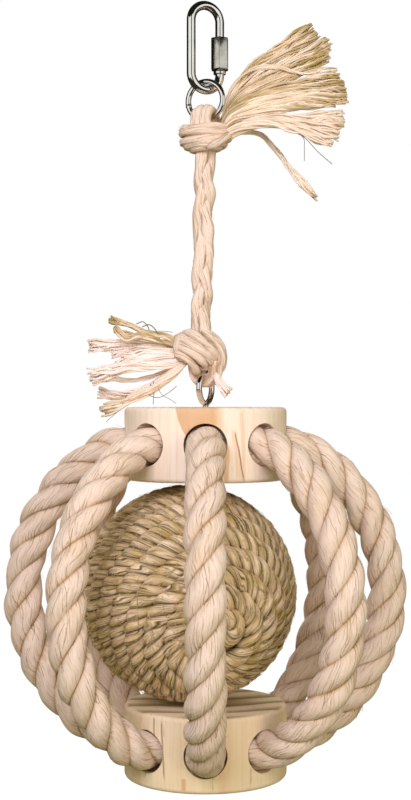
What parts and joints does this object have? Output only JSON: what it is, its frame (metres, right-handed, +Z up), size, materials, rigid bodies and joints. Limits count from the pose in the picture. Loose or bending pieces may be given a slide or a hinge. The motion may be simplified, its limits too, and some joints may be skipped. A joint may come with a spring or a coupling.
{
  "type": "hanging bird toy",
  "caption": "Hanging bird toy: bowed ropes between wooden discs cage a loose twine-wound ball, on a plaited rope hanger with frayed tassels, a steel ring and a quick link.",
  "frame": {"origin": "the hang point: the inside of the quick link's top bend, on the axis of the cage", "axes": "+Z up along the hanger; -Y towards the viewer of the picture; +X to the viewer's right"},
  "size_m": [0.2106, 0.2106, 0.4057],
  "materials": {
    "zinc_steel": "bright zinc-plated wire",
    "pine": "bare turned pine with visible grain",
    "cage_rope": "thick three-strand cotton and hemp rope",
    "hanger_rope": "plaited natural fibre rope with frayed tails",
    "sisal_twine": "rough twisted sisal twine"
  },
  "bodies": {
    "link": {"quick_link_body": "zinc_steel"},
    "sleeve": {"quick_link_sleeve": "zinc_steel"},
    "ring": {"hanging_ring": "zinc_steel"},
    "hanger": {"upper_rope_loop": "hanger_rope", "top_knot": "hanger_rope", "plaited_rope": "hanger_rope", "top_tassel_upper": "hanger_rope", "top_tassel_middle": "hanger_rope", "top_tassel_lower": "hanger_rope", "top_tassel_strand": "hanger_rope"},
    "lower_hanger": {"lower_knot": "hanger_rope", "lower_rope_loop": "hanger_rope", "lower_tassel_upper": "hanger_rope", "lower_tassel_back": "hanger_rope", "lower_tassel_middle": "hanger_rope", "lower_tassel_low": "hanger_rope", "lower_tassel_tip": "hanger_rope", "loop_tail": "hanger_rope"},
    "cage": {"screw_eye": "zinc_steel", "top_disc": "pine", "bottom_disc": "pine", "cage_rope_1": "cage_rope", "cage_rope_2": "cage_rope", "cage_rope_3": "cage_rope", "cage_rope_4": "cage_rope", "cage_rope_5": "cage_rope", "cage_rope_6": "cage_rope", "cage_rope_7": "cage_rope", "cage_rope_8": "cage_rope", "top_brad_1": "zinc_steel", "top_brad_2": "zinc_steel", "top_brad_3": "zinc_steel", "top_brad_4": "zinc_steel", "top_brad_5": "zinc_steel", "top_brad_6": "zinc_steel", "top_brad_7": "zinc_steel", "top_brad_8": "zinc_steel", "bottom_brad_1": "zinc_steel", "bottom_brad_2": "zinc_steel", "bottom_brad_3": "zinc_steel", "bottom_brad_4": "zinc_steel", "bottom_brad_5": "zinc_steel", "bottom_brad_6": "zinc_steel", "bottom_brad_7": "zinc_steel", "bottom_brad_8": "zinc_steel"},
    "ball": {"ball_core": "sisal_twine", "ball_winding": "sisal_twine"}
  },
  "joints": [
    {"name": "sleeve_travel", "type": "slide", "parent": "link", "child": "sleeve", "axis": [0, 0, 1], "range_m": [0, 0.0085]},
    {"name": "ring_swing", "type": "hinge", "parent": "link", "child": "ring", "pos_m": [0, 0, -0.04195], "axis": [0.891, 0.454, 0], "range_deg": [-25, 25]},
    {"name": "hanger_swing", "type": "hinge", "parent": "ring", "child": "hanger", "pos_m": [0, 0, -0.05745], "axis": [0.9135, -0.4067, 0], "range_deg": [-25, 25]},
    {"name": "hanger_twist", "type": "hinge", "parent": "hanger", "child": "lower_hanger", "pos_m": [0, 0, -0.1718], "axis": [0, 0, 1], "range_deg": [-90, 90], "stiffness_Nm_per_rad": 0.01},
    {"name": "cage_swing", "type": "hinge", "parent": "lower_hanger", "child": "cage", "pos_m": [0, 0, -0.19515], "axis": [-0.9205, 0.3907, 0], "range_deg": [-12, 12]},
    {"name": "ball_roll", "type": "hinge", "parent": "cage", "child": "ball", "pos_m": [-0.009, 0, -0.30585], "axis": [0, 0, 1], "continuous": true}
  ]
}
